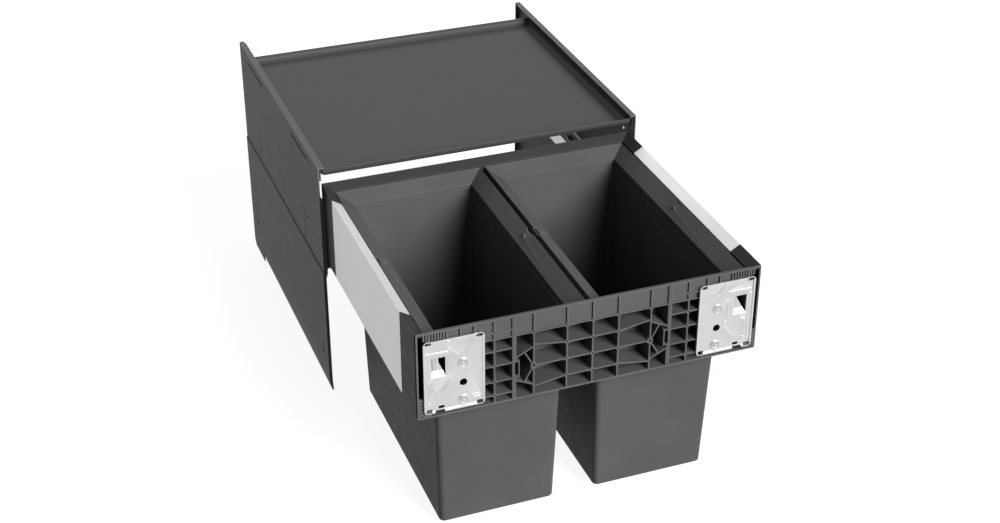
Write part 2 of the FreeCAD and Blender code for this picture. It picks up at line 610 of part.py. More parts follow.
def bar_between(start, end, thick, depth):
    """A straight upright-faced bar between two (x, z) points, from y = 0 back."""
    run = Vector(end[0] - start[0], 0, end[1] - start[1])
    bar = Part.makeBox(run.Length, depth, thick, Vector(0, 0, -thick / 2))
    turn = Rotation(Vector(1, 0, 0), run)
    bar.Placement = FreeCAD.Placement(Vector(start[0], 0, start[1]), turn)
    return bar


def block_between(x, y, z):
    return Part.makeBox(x[1] - x[0], y[1] - y[0], z[1] - z[0], Vector(x[0], y[0], z[0]))


def bracket_half_shape():
    """The right half of the moulded front bracket: skins, walls, ribs and node tubes."""
    half, low, high = size("bracket_half"), size("bracket_low"), size("bracket_high")
    upper, depth, skin = size("bracket_upper"), size("bracket_depth"), size("bracket_skin")
    rib, tube, hole = size("rib"), size("node_tube"), size("node_hole")
    ledge = size("frame_ledge")
    inner_end = size("drawer_half") - size("side_thick") - size("joint_gap")
    shallow = size("corner_front")
    wall = size("corner_wall")
    end_plate = 28.0
    bar = 101.0
    bar_half = 2.4
    hub = (76.0, 249.7)
    hub_round = 4.0
    rows = (225.8, 249.7, 273.3)
    outer_rows = (218.4, 237.5, 259.9, 280.5)
    columns = (0.0, 33.4)
    outer_column = 125.9
    last_column = 149.0
    upper_columns = (150.3, 167.3, 183.8)
    upper_row = 306.8
    spread = 30.0
    boss = 5.0
    bosses = [(size("screw_column"), size(height), boss) for height in ("screw_low", "screw_high")]
    comb_start, comb_pitch, comb_teeth, comb_low = 187.6, 3.6, 8, 314.8
    slot_half, frame_half = 9.5, 11.5
    end_hole, end_hole_pitch, end_holes = 1.3, 5.2, 5

    solids = [
        block_between((0, inner_end), (depth - skin, depth), (low, ledge)),
        block_between((0, inner_end), (upper - skin, upper), (ledge - skin, high)),
        block_between((0, inner_end), (0, upper), (high - wall, high)),
        block_between((0, inner_end), (0, depth), (ledge - skin, ledge)),
        block_between((0, inner_end), (0, depth), (low, low + wall)),
        block_between((inner_end - wall, inner_end), (0, depth), (low, ledge)),
        block_between((inner_end - wall, inner_end), (0, upper), (ledge - skin, high)),
        block_between((inner_end - wall, half), (0, shallow), (high - wall, high)),
        block_between((half - wall, half), (0, shallow), (low, high)),
        block_between((inner_end - wall, half), (0, shallow), (low, low + end_plate)),
        block_between((bar - bar_half, bar + bar_half), (0, depth), (low, ledge)),
        block_between((bar - bar_half, bar + bar_half), (0, upper), (ledge - skin, high)),
    ]
    cut_depth = depth - skin / 2
    ribs = []
    for column in columns:
        ribs.append(((column, low), (column, ledge), cut_depth))
    for row in rows:
        ribs.append(((0.0, row), (columns[1], row), cut_depth))
    ribs.append(((hub[0], low), (hub[0], ledge), cut_depth))
    for rise in (-spread, 0.0, spread):
        start_row = rows[1] + rise * (rows[2] - rows[1]) / spread
        ribs.append(((columns[1], start_row), (hub[0], hub[1] + rise), cut_depth))
        if rise:
            shoulder = (bar - 1.0, hub[1] + rise * 0.52)
            knee = (hub[0], hub[1] + rise * 0.9)
            middle = ((shoulder[0] + knee[0]) / 2, (shoulder[1] + knee[1]) / 2)
            ribs.append((knee, shoulder, cut_depth))
            ribs.append((hub, middle, cut_depth))
    ribs.append(((outer_column, low), (outer_column, ledge), cut_depth))
    for row in outer_rows:
        ribs.append(((bar, row), (last_column, row), cut_depth))
    ribs.append(((last_column, low), (last_column, ledge), cut_depth))
    for column in columns + (hub[0], outer_column) + upper_columns:
        ribs.append(((column, ledge), (column, high - 1.0), upper - skin / 2))
    ribs.append(((bar, upper_row), (upper_columns[0], upper_row), upper - skin / 2))
    for tooth in range(comb_teeth):
        column = comb_start + tooth * comb_pitch
        reach = shallow if column > inner_end - wall else upper - skin / 2
        ribs.append(((column, comb_low), (column, high - 1.0), reach))
    for start, end, back in ribs:
        solids.append(bar_between(start, end, rib, back))

    tubes = [(column, row, tube) for column in columns for row in rows]
    tubes += [(column, ledge - skin, tube) for column in columns + (hub[0],)]
    tubes += [(outer_column, row, tube) for row in outer_rows]
    tubes += [(outer_column, upper_row, tube), (*hub, hub_round)] + bosses
    holes = []
    for across, up, radius in tubes:
        back = upper - 1.0 if up > ledge - tube else cut_depth
        solids.append(Part.makeCylinder(radius, back, Vector(across, 0, up), Vector(0, 1, 0)))
        bore = size("rivet") if radius == boss else hole * radius / tube
        holes.append(Part.makeCylinder(bore, back - 1.0, Vector(across, 0, up), Vector(0, 1, 0)))
    slot = (hub[1] - slot_half, hub[1] + slot_half)
    frame = (hub[1] - frame_half, hub[1] + frame_half)
    solids.append(block_between((bar - 7.0, bar), (0, depth), frame))
    holes.append(block_between((bar - 5.5, bar - 0.9), (0, depth), slot))
    for index in range(end_holes):
        place = Vector(half - 5.5, 0, low + 3.5 + index * end_hole_pitch)
        holes.append(Part.makeCylinder(end_hole, shallow, place, Vector(0, 1, 0)))
    step_front, step_top = size("bracket_step"), size("bracket_step_top")
    holes.append(block_between((-1, half), (step_front, depth + 1), (step_top, ledge + 1)))
    shape = solids[0].multiFuse(solids[1:]).cut(Part.makeCompound(holes))
    step = [
        block_between((0, inner_end), (step_front - skin, step_front), (step_top - skin, ledge)),
        block_between((0, inner_end), (step_front - skin, depth), (step_top - skin, step_top)),
    ]
    return shape.multiFuse(step).removeSplitter()


def front_bracket(screws):
    """The ribbed plastic bracket across the drawer's front, with the bins' front ledge."""
    right = bracket_half_shape()
    left = right.mirror(Vector(), Vector(1, 0, 0))
    piece = doc.addObject("Part::Feature", "bracket")
    piece.Shape = right.fuse(left).removeSplitter()
    finish(cut("bracket_drilled", piece, screws), "front_bracket", DRAWER_Y)


# Shallow stamped marks, different on the two plates. Bars are (start, end, half width) and
# bosses are (x, z, radius), in x measured outwards from the unit's middle plane.
PLATE_MARKS = {
    "left": {
        "bars": [((184.0, 295.0), (211.0, 295.0), 1.9), ((184.4, 301.0), (171.0, 288.1), 0.6),
                 ((199.1, 235.8), (180.2, 254.5), 2.4), ((144.8, 228.0), (153.0, 228.0), 0.9),
                 ((144.8, 224.4), (153.0, 224.4), 0.9)],
        "bosses": [(183.3, 307.6, 2.8), (208.2, 225.6, 2.4)],
        "fields": [[(209.0, 251.5), (202.2, 255.9), (200.9, 246.2)]],
        "groove": ((195.0, 239.9), (184.0, 250.7), 0.8),
        "border": [(141.2, 219.8), (144.2, 219.8), (144.2, 303.8), (150.6, 305.8), (153.0, 311.8),
                   (141.2, 311.8)],
    },
    "right": {
        "bars": [((178.5, 296.4), (210.0, 296.0), 1.9), ((162.0, 295.4), (175.5, 308.4), 2.4),
                 ((174.4, 249.4), (188.4, 232.6), 0.6), ((179.6, 264.0), (179.6, 285.5), 0.5),
                 ((197.5, 255.6), (203.5, 254.4), 0.9)],
        "bosses": [(176.0, 253.8, 2.6), (203.0, 226.0, 2.6)],
        "fields": [],
        "groove": ((164.6, 297.9), (172.9, 305.9), 0.8),
        "border": [(208.0, 224.0), (212.3, 224.0), (212.3, 291.0), (208.0, 291.0)],
    },
}
# How far the hook in each window leaves it open from one side, at mid height and at the top,
# and its pin's place in from the other side and radius.
PLATE_HOOKS = {
    "left": {"open": ("dim.window_in", 1, 7.0, 8.0, 17.0), "pin": ("dim.window_out - 3.4", 3.0)},
    "right": {"open": ("dim.window_out", -1, 11.0, 13.0, 21.0), "pin": ("dim.window_in + 2.6", 2.2)},
}


def written(corners):
    """Fixed (x, z) corners as expressions."""
    return [(f"{x:.3f}", f"{z:.3f}") for x, z in corners]


def slanted(start, end, half):
    """Corners of a straight bar between two (x, z) points."""
    run = Vector(end[0] - start[0], end[1] - start[1], 0)
    side = Vector(-run.y, run.x, 0) * (half / run.Length)
    ends = ((start, -1), (end, -1), (end, 1), (start, 1))
    return written([(x + sign * side.x, z + sign * side.y) for (x, z), sign in ends])


def plate_blank(body):
    """The plate with its raised rim, dished field and stamped marks."""
    outline = rectangle("dim.plate_inner", "dim.plate_outer", "dim.plate_low", "dim.plate_high")
    blank = sketch(body, "plate_outline", "XZ", "dim.joint_gap", [outline])
    block = extrude(body, "plate_blank", "Pad", blank, "dim.plate_proud - dim.joint_gap")
    doc.recompute()
    upright = edges_along(block.Shape, Vector(0, 1, 0))
    round_edges(body, "plate_corners", block, upright, "dim.plate_corner")
    field = sketch(body, "field_outline", "XZ", "dim.plate_proud", [
        rectangle("dim.plate_inner + dim.plate_rim", "dim.plate_outer - dim.plate_rim",
                  "dim.plate_low + dim.plate_rim", "dim.plate_high - dim.plate_rim")])
    extrude(body, "field", "Pocket", field, "dim.plate_proud - dim.joint_gap - dim.plate_gauge")


def plate_marks(body, marks):
    raised = "dim.joint_gap + dim.plate_gauge"
    loops = [slanted(*bar) for bar in marks["bars"]] + [written(field) for field in marks["fields"]]
    bosses = [tuple(str(value) for value in boss) for boss in marks["bosses"]]
    stamped = sketch(body, "mark_outline", "XZ", raised, loops, bosses)
    extrude(body, "marks", "Pad", stamped, "dim.emboss")
    border = sketch(body, "border_outline", "XZ", raised, [written(marks["border"])])
    extrude(body, "border_step", "Pad", border, "dim.border")
    pads = sketch(body, "pad_outline", "XZ", raised, circles=[
        ("dim.screw_column", height, "dim.screw_pad") for height in ("dim.screw_low", "dim.screw_high")])
    extrude(body, "screw_pads", "Pad", pads, "dim.emboss")
    groove = sketch(body, "groove_outline", "XZ", f"{raised} + dim.emboss", [slanted(*marks["groove"])])
    extrude(body, "groove", "Pocket", groove, "dim.emboss")


def plate_openings(body):
    """Corner slots, window, notch and holes, all right through the plate."""
    middle_x = "(dim.plate_inner + dim.plate_outer) / 2"
    middle_z = "(dim.plate_low + dim.plate_high) / 2"
    reach = "(dim.slot_length / 2 - dim.slot_radius)"
    slots = [(f"{middle_x} + {across} * dim.slot_half_x", f"{middle_z} + {up} * dim.slot_half_z",
              reach, "dim.slot_radius") for across in (-1, 1) for up in (-1, 1)]
    slots.append(("dim.side_slot_x", "dim.side_slot_z", "dim.side_slot_half", "dim.side_slot_radius"))
    loops = [rectangle(f"{x} - {half}", f"{x} + {half}", f"{z} - {radius}", f"{z} + {radius}")
             for x, z, half, radius in slots]
    loops.append(rectangle("dim.window_in", "dim.window_out", "dim.window_low", "dim.window_high"))
    loops.append(rectangle("dim.notch_in", "dim.notch_out", "dim.plate_low - 1",
                           "dim.plate_low + dim.notch_depth"))
    holes = [("dim.screw_column", "dim.centre_hole_height", "dim.centre_hole")]
    holes += [("dim.screw_column", height, "dim.rivet") for height in ("dim.screw_low", "dim.screw_high")]
    ends = [(f"{x} {side} {half}", z, radius) for x, z, half, radius in slots for side in "-+"]
    straight = sketch(body, "straight_outline", "XZ", "-1", loops, holes)
    extrude(body, "straight_openings", "Pocket", straight, "2 * dim.plate_proud", backwards=True)
    for index, end in enumerate(ends):
        rounds = sketch(body, f"slot_end_{index}", "XZ", "-1", circles=[end])
        extrude(body, f"slot_round_{index}", "Pocket", rounds, "2 * dim.plate_proud", backwards=True)


def plate_hook(body, hook):
    """The bent tongue behind the window, cut away on one side, and its upright pin."""
    back = "dim.tongue_depth - dim.plate_gauge"
    bend = "dim.window_low + dim.tongue_rise"
    top = "dim.window_high + 1"
    front = "-(dim.joint_gap + dim.plate_gauge)"
    profile = sketch(body, "tongue_outline", "YZ", "dim.window_in + 0.3", [[
        (front, "dim.window_low - 1"), ("-dim.joint_gap", "dim.window_low - 1"),
        ("dim.tongue_depth", bend), ("dim.tongue_depth", top), (back, top), (back, f"{bend} + 0.6"),
        (front, "dim.window_low + 0.2"),
    ]])
    extrude(body, "tongue", "Pad", profile, "dim.window_out - dim.window_in - 0.6")
    edge, sign, middle_in, top_in, middle_up = hook["open"]
    away = sketch(body, "tongue_cut", "XZ", "-0.3", [[
        (f"{edge} - ({sign})", "dim.window_low"), (edge, "dim.window_low + 1"),
        (f"{edge} + ({sign * middle_in})", f"dim.window_low + {middle_up}"),
        (f"{edge} + ({sign * top_in})", "dim.window_high + 2"), (f"{edge} - ({sign})", "dim.window_high + 2"),
    ]])
    extrude(body, "tongue_side", "Pocket", away, "2 * dim.tongue_depth")
    pin_x, pin_radius = hook["pin"]
    pin = sketch(body, "pin_outline", "XY", f"{bend} + 3", circles=[(pin_x, back, str(pin_radius))])
    extrude(body, "pin", "Pad", pin, f"dim.window_high - ({bend}) - 2")


def front_plate(side):
    """A pressed plate that the furniture front screws to."""
    body = new_body(f"{side}_plate_body")
    plate_blank(body)
    plate_marks(body, PLATE_MARKS[side])
    plate_openings(body)
    plate_hook(body, PLATE_HOOKS[side])
    if side == "right":
        finish(body, "right_front_plate", DRAWER_Y)
    else:
        mirrored(body, "left_front_plate", DRAWER_Y)


# ------------------------------------------------------------------- fasteners
def fastener(name, axis, place, reach, radius, head_radius, head):
    """A shank from a place along an axis, with a flat head before it."""
    shank = rod(f"{name}_shank", axis, place, reach, radius)
    index = "xyz".index(axis)
    start = list(place)
    start[index] = f"{place[index]} - {head}"
    top = rod(f"{name}_head", axis, start, head, head_radius)
    return fuse(name, shank, top)


def rail_rivets():
    """Rivets that hold the cabinet rail to the side panel."""
    places = ("40", "225", "410")
    return group("rail_rivets_right", *(
        fastener(f"rail_rivet_{index}", "x", (f"{UPPER_IN} - dim.gauge", place, "dim.track_top - 2"),
                 "2 * dim.gauge", "dim.rail_rivet", "dim.rail_rivet_head", "dim.rail_rivet_head_thick")
        for index, place in enumerate(places)))


def plate_rivet(name, height):
    """A rivet with a dished head and a round button in the dish."""
    seat = "-(dim.joint_gap + dim.plate_gauge + dim.emboss)"
    rivet = fastener(name, "y", ("dim.screw_column", seat, height), "dim.rivet_reach + dim.emboss",
                     "dim.rivet", "dim.rivet_head", "dim.rivet_head_thick")
    dish = doc.addObject("Part::Cone", f"{name}_dish")
    dish.Placement = FreeCAD.Placement(Vector(), Rotation(Vector(0, 0, 1), Vector(0, 1, 0)))
    face = f"{seat} - dim.rivet_head_thick"
    for side, value in (("Placement.Base.x", "dim.screw_column"), ("Placement.Base.y", face),
                        ("Placement.Base.z", height), ("Radius1", "dim.rivet_dish"),
                        ("Radius2", "dim.rivet_dish_floor"), ("Height", "dim.rivet_dish_depth")):
        dish.setExpression(side, value)
    button = rod(f"{name}_button", "y", ("dim.screw_column", face, height), "dim.rivet_head_thick",
                 "dim.rivet_button")
    return fuse(f"{name}_finished", cut(f"{name}_dished", rivet, dish), button)


def plate_rivets():
    """Rivets that hold the fixing plate to the bosses of the front bracket."""
    return group("plate_rivets_right", plate_rivet("upper_plate_rivet", "dim.screw_high"),
                 plate_rivet("lower_plate_rivet", "dim.screw_low"))


def rail_screws():
    """Screws through the drawer side's inner wall into the drawer rail."""
    return group("rail_screws_right", *(
        fastener(f"rail_screw_{index}", "x", (SIDE_IN, place, "dim.track_top + 1"),
                 "dim.rail_screw_reach", "dim.screw", "dim.screw_head", "dim.screw_head_thick")
        for index, place in enumerate(("90", "200", "320"))))


def frame_screws(name, places):
    """Screws from a cross member's end wall into a drawer corner."""
    return group(f"{name}_right", *(
        fastener(f"{name}_{index}", "x", (f"{SIDE_IN} - dim.joint_gap - dim.corner_wall", place, height),
                 "dim.corner_wall * 2 + dim.joint_gap", "dim.screw", "dim.screw_head",
                 "dim.screw_head_thick")
        for index, (place, height) in enumerate(places)))


# ------------------------------------------------------------------------ bins
BIN_X = ("dim.bin_inner", "dim.bin_outer")
BIN_Y = ("dim.bin_front", "dim.bin_back")


def inset_box(name, inset, low, high):
    """A block inside the bin's rim outline by an inset, between two levels."""
    return box(name, (f"{BIN_X[0]} + ({inset})", f"{BIN_X[1]} - ({inset})"),
               (f"{BIN_Y[0]} + ({inset})", f"{BIN_Y[1]} - ({inset})"), (low, high))


def ring(name, outer, inner, low, high):
    """A square tube between two insets and two levels."""
    return cut(name, inset_box(f"{name}_outer", outer, low, high),
               inset_box(f"{name}_inner", inner, f"{low} - 1", f"{high} + 1"))


def sloped_plate(name, upper, lower, hole):
    """The rim's funnel-shaped plate between two depths below the rim's face."""
    low_funnel = funnel(f"{name}_low", f"dim.rim_top - dim.rim_drop - ({lower})",
                        f"dim.rim_top - ({lower})", BIN_X, BIN_Y, "dim.rim_inset")
    cap = inset_box(f"{name}_cap", "0", f"dim.rim_top - ({lower})", f"dim.rim_top - ({upper})")
    high_funnel = funnel(f"{name}_high", f"dim.rim_top - dim.rim_drop - ({upper})",
                         f"dim.rim_top - ({upper})", BIN_X, BIN_Y, "dim.rim_inset")
    mouth = inset_box(f"{name}_mouth", hole, "dim.neck_height - 10", "dim.rim_top + 5")
    return cut(name, fuse(f"{name}_solid", low_funnel, cap),
               fuse(f"{name}_space", high_funnel, mouth))


def pivot_rod(name, radius):
    """A bar across the whole bin along the handle's pivot axis."""
    return rod(name, "x", (f"{BIN_X[0]} - 5", "dim.pivot_back", "dim.pivot_height"),
               f"{BIN_X[1]} - {BIN_X[0]} + 10", radius)


def zone(name, y, low="dim.neck_height - 20", high="dim.rim_top + 20", inset="-5"):
    return box(name, (f"{BIN_X[0]} + {inset}", f"{BIN_X[1]} - ({inset})"), y, (low, high))


def swing_wedge(name, edge, inward):
    """The space behind the pivot that the raised handle's leg takes up."""
    reach = "(dim.rim_top - dim.pivot_height + dim.handle_gap)"
    wedge = doc.addObject("Part::Wedge", name)
    near = [f"{edge}", f"{edge} {inward} {reach} * dim.rim_inset / dim.rim_drop"]
    far = [f"{edge}", f"{edge} {inward} 0.01"]
    if inward == "-":
        near.reverse()
        far.reverse()
    sides = {
        "Ymin": "dim.pivot_back", "Ymax": f"dim.pivot_back + {reach}",
        "Xmin": near[0], "Xmax": near[1], "X2min": far[0], "X2max": far[1],
        "Zmin": "dim.pivot_height", "Zmax": "dim.rim_top + 5",
        "Z2min": "dim.pivot_height", "Z2max": "dim.rim_top + 5",
    }
    for side, place in sides.items():
        wedge.setExpression(side, place)
    return wedge


def bin_shell():
    """The tapered plastic bucket up to its neck."""
    body = new_body("bucket")
    block = body.newObject("PartDesign::AdditiveWedge", "bucket_block")
    block.AttachmentOffset = FreeCAD.Placement(Vector(), Rotation(Vector(1, 0, 0), 90))
    block.AttachmentSupport = [(plane_of(body, "XY"), "")]
    block.MapMode = "FlatFace"
    sides = {
        "Ymin": "dim.bin_floor", "Ymax": "dim.neck_height",
        "Xmin": "dim.floor_inner", "Xmax": "dim.floor_outer",
        "X2min": "dim.bin_inner + dim.neck_inset", "X2max": "dim.bin_outer - dim.neck_inset",
        "Zmin": "-dim.floor_back", "Zmax": "-dim.floor_front",
        "Z2min": "-(dim.bin_back - dim.neck_inset)", "Z2max": "-(dim.bin_front + dim.neck_front)",
    }
    for side, place in sides.items():
        block.setExpression(side, place)
    doc.recompute()
    upright = edges_along(block.Shape, Vector(0, 0, 1))
    corners = round_edges(body, "bucket_corners", block, upright, "dim.bin_corner")
    bottom = face_at(corners.Shape, "z", size("bin_floor"))
    rounded = round_edges(body, "bucket_foot", corners, [bottom], "dim.bin_edge")
    top = face_at(rounded.Shape, "z", size("neck_height"))
    hollow(body, "bucket_hollow", rounded, top, "dim.bin_wall")
    return body


def waste_bin():
    """Bucket, ledge, collar, rear rim, front flange under the handle and pivot ears."""
    ledge = cut("ledge", inset_box("ledge_outer", "dim.collar_out", "dim.neck_height - 1.5",
                                   "dim.neck_height + 0.5"),
                box("ledge_hole", (f"{BIN_X[0]} + dim.neck_inset + dim.bin_wall",
                                   f"{BIN_X[1]} - dim.neck_inset - dim.bin_wall"),
                    (f"{BIN_Y[0]} + dim.neck_front + dim.bin_wall",
                     f"{BIN_Y[1]} - dim.neck_inset - dim.bin_wall"),
                    ("dim.neck_height - 5", "dim.neck_height + 5")))
    collar = ring("collar", "dim.collar_out", "dim.collar_in", "dim.neck_height - 1", "300")
    rear_plate = sloped_plate("rear_plate", "0", "dim.rim_thick", "dim.collar_in")
    rear_lip = ring("rear_lip", "dim.collar_in - 0.5", "dim.rim_inset", "dim.lip_low",
                    "dim.rim_top - dim.rim_drop")
    lip_joint = sloped_plate("lip_joint", "0", "dim.rim_thick", "dim.rim_inset")
    skirt = ring("skirt_ring", "0", "dim.skirt", "dim.rim_foot", "dim.rim_top")
    rear_whole = fuse("rear_whole", rear_plate, rear_lip, lip_joint,
                      cut("rear_skirt", skirt, zone_above("skirt_slope", "0")))
    rear = cut("rear_rim", rear_whole, zone("front_part", ("0", "dim.pivot_back")))

    depth = "dim.rim_thick + dim.handle_gap"
    flange = sloped_plate("front_flange", depth, f"{depth} + dim.flange_thick", "dim.collar_in")
    front_skirt = cut("front_skirt", ring("front_skirt_ring", "0", "dim.skirt", "dim.rim_foot",
                                          f"dim.rim_top - ({depth})"),
                      zone_above("front_slope", depth))
    front = common("front_rim", fuse("front_whole", flange, front_skirt),
                   zone("front_zone", ("0", "dim.pivot_back")))
    swing = fuse("swing_space", pivot_rod("pivot_space", "dim.pivot_clear"),
                 swing_wedge("swing_inner", "dim.bin_inner", "+"),
                 swing_wedge("swing_outer", "dim.bin_outer", "-"))
    rims = cut("rims", fuse("rim_parts", collar, rear, front), swing)

    ear_zone = box("ear_zone", (f"{BIN_X[0]}", f"{BIN_X[1]}"),
                   ("dim.pivot_back - dim.ear_half", "dim.pivot_back + dim.ear_half"),
                   ("dim.rim_foot", "dim.ear_high"))
    ears = common("ears", ear_zone, ring("ear_ring", "0", "dim.skirt", "dim.rim_foot", "dim.ear_high"))
    arms = common("ear_arms", box("arm_zone", BIN_X, ("dim.pivot_back - 14", "dim.pivot_back + 14"),
                                  ("dim.rim_foot - 2.3", "dim.rim_foot - 0.3")),
                  ring("arm_ring", "0", "dim.collar_in", "dim.rim_foot - 2.3", "dim.rim_foot - 0.3"))
    posts = common("ear_posts", box("post_zone", BIN_X,
                                    ("dim.pivot_back - dim.ear_half", "dim.pivot_back + dim.ear_half"),
                                    ("dim.rim_foot - 2.3", "dim.rim_foot + 1")),
                   ring("post_ring", "0", "dim.skirt", "dim.rim_foot - 2.3", "dim.rim_foot + 1"))
    whole = fuse("bin_whole", bin_shell(), ledge, rims, ears, arms, posts)
    drilled = cut("bin_drilled", whole, pivot_rod("pin_bore", "dim.pin + dim.pin_gap"))
    finish_pair(drilled, "bin", DRAWER_Y)


def zone_above(name, depth):
    """Everything above the rim's sloped face, lowered by a depth."""
    return funnel(name, f"dim.rim_top - dim.rim_drop - ({depth})", f"dim.rim_top - ({depth})",
                  BIN_X, BIN_Y, "dim.rim_inset")


def bin_handle():
    """The U-shaped bail that forms the front half of the rim when it lies flush."""
    plate = sloped_plate("handle_plate", "0", "dim.rim_thick", "dim.rim_inset")
    lip = ring("handle_lip", "dim.lip_out", "dim.rim_inset", "dim.lip_low",
               "dim.rim_top - dim.rim_drop")
    legs = fuse("handle_zone", zone("handle_front", ("0", "dim.pivot_back - dim.handle_gap")),
                pivot_rod("handle_round", "dim.pivot_round"))
    bail = common("bail", fuse("handle_whole", plate, lip), legs)
    bosses = []
    for index, start in enumerate((f"{BIN_X[0]} + dim.skirt + dim.handle_gap",
                                   f"{BIN_X[1]} - dim.skirt - dim.handle_gap - dim.boss_length")):
        bosses.append(rod(f"handle_boss_{index}", "x", (start, "dim.pivot_back", "dim.pivot_height"),
                          "dim.boss_length", "dim.boss"))
    ear_space = ring("ear_space", "-1", "dim.skirt + dim.handle_gap", "dim.rim_foot - 5", "dim.rim_top + 5")
    beside_ears = common("beside_ears", ear_space, box(
        "ear_space_zone", (f"{BIN_X[0]} - 1", f"{BIN_X[1]} + 1"),
        ("dim.pivot_back - dim.ear_half - 3", "dim.pivot_back + 20"),
        ("dim.rim_foot - 5", "dim.rim_top + 5")))
    solid = fuse("handle_solid", cut("bail_beside_ears", bail, beside_ears), *bosses)
    drilled = cut("handle_drilled", solid, pivot_pins("handle_bore"))
    finish_pair(drilled, "bin_handle", DRAWER_Y)


def pivot_pins(name):
    """The two short steel pins that the handle turns on."""
    pins = []
    for index, start in enumerate((f"{BIN_X[0]} + 0.3", f"{BIN_X[1]} - 0.3 - dim.pin_length")):
        pins.append(rod(f"{name}_{index}", "x", (start, "dim.pivot_back", "dim.pivot_height"),
                        "dim.pin_length", "dim.pin"))
    return group(name, *pins)


# ------------------------------------------------------------------------ build
rail_rivet_group = rail_rivets()
plate_rivet_group = plate_rivets()
rail_screw_group = rail_screws()
front_screw_group = frame_screws("front_frame_screw", (("18", "250"), ("18", "285")))
rear_screw_group = frame_screws("rear_frame_screw", (("391", "240"), ("391", "280")))
front_screw_set = both_sides("front_screw_set", front_screw_group)
rear_screw_set = both_sides("rear_screw_set", rear_screw_group)

side_panel(rail_rivet_group)
cover_tray()
tray_clip()
cabinet_rail(rail_rivet_group)
middle_rail()
drawer_rail(rail_screw_group)
roller_cage("lower", "dim.track_half - 0.1", "dim.track_top", "dim.lower_cage_front", LOWER_CAGE_Y)
roller_cage("upper", f"{MIDDLE_OUT} - 0.2", MIDDLE_TOP, "dim.upper_cage_front", UPPER_CAGE_Y)
drawer_side(rail_screw_group)
front_corner(front_screw_group)
rear_corner(rear_screw_group)
rear_frame(rear_screw_set)
front_bracket(front_screw_set)
front_plate("right")
front_plate("left")
finish(both_sides("rail_rivet_set", rail_rivet_group), "cabinet_rail_rivets", CARCASS_Y)
finish(both_sides("plate_rivet_set", plate_rivet_group), "front_plate_rivets", DRAWER_Y)
finish(both_sides("rail_screw_set", rail_screw_group), "drawer_rail_screws", DRAWER_Y)
finish(group("frame_screw_set", front_screw_set, rear_screw_set), "drawer_frame_screws", DRAWER_Y)
waste_bin()
bin_handle()
finish_pair(pivot_pins("pins"), "handle_pins", DRAWER_Y)
doc.recompute()

for item in doc.Objects:
    if "Invalid" in item.State or "Error" in item.State:
        raise RuntimeError(f"{item.Name} ({item.Label}) failed: {item.State}")

os.makedirs("parts", exist_ok=True)
for piece in nodes:
    shape = piece.Shape
    if shape.isNull() or not shape.isValid() or not shape.Solids:
        raise RuntimeError(f"{piece.Label} has no valid solid")
    shape.exportStep(os.path.join("parts", f"{piece.Label}.step"))
    corner = shape.BoundBox
    print(f"{piece.Label:26s} solids {len(shape.Solids):2d}  volume {shape.Volume / 1000:8.2f} cm3  "
          f"x {corner.XMin:7.1f} {corner.XMax:7.1f}  y {corner.YMin:7.1f} {corner.YMax:7.1f}  "
          f"z {corner.ZMin:6.1f} {corner.ZMax:6.1f}")
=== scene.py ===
"""Looks of the pull-out waste sorter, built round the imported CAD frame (metres, +Z up)."""
import json
import math

import bmesh
import bpy
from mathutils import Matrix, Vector


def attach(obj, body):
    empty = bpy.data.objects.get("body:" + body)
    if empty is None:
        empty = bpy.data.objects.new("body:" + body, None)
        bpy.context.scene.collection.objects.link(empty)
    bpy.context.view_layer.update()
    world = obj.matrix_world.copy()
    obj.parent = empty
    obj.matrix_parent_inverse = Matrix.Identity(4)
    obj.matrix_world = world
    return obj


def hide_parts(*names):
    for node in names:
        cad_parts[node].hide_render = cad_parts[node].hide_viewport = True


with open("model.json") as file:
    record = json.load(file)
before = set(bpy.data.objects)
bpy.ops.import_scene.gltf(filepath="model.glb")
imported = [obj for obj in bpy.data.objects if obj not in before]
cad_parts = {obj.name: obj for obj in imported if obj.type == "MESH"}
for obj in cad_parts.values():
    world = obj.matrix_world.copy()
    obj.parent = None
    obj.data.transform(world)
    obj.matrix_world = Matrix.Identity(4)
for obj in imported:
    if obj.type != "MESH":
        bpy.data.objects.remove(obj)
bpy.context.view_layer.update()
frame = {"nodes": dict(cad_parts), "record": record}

MM = 0.001
nodes = frame["nodes"]

# Most of a noise's values lie between these two.
NOISE_LOW, NOISE_HIGH = 0.3, 0.7
WHITE = (1.0, 1.0, 1.0, 1.0)

# Edges between faces that meet at less than this are shaded smooth; sharper ones get rounded.
SMOOTH_ANGLE = math.radians(35.0)
ROUNDING_SEGMENTS = 2

FLOOR_REACH = 30.0
FLOOR_DROP = 0.0005
FLOOR_GLOW = 0.90
WORLD_GLOW = 0.26

CAMERA_PLACE = (-0.70148, -1.96189, 1.37713)
CAMERA_AZIMUTH = math.radians(-20.653)
CAMERA_ELEVATION = math.radians(30.554)
LENS_MM = 60.79
SENSOR_MM = 36.0


def tinted(tone, factor, lift=0.0):
    """A tone made darker or lighter, each channel at most 1."""
    return tuple(min(1.0, channel * factor + lift) for channel in tone)


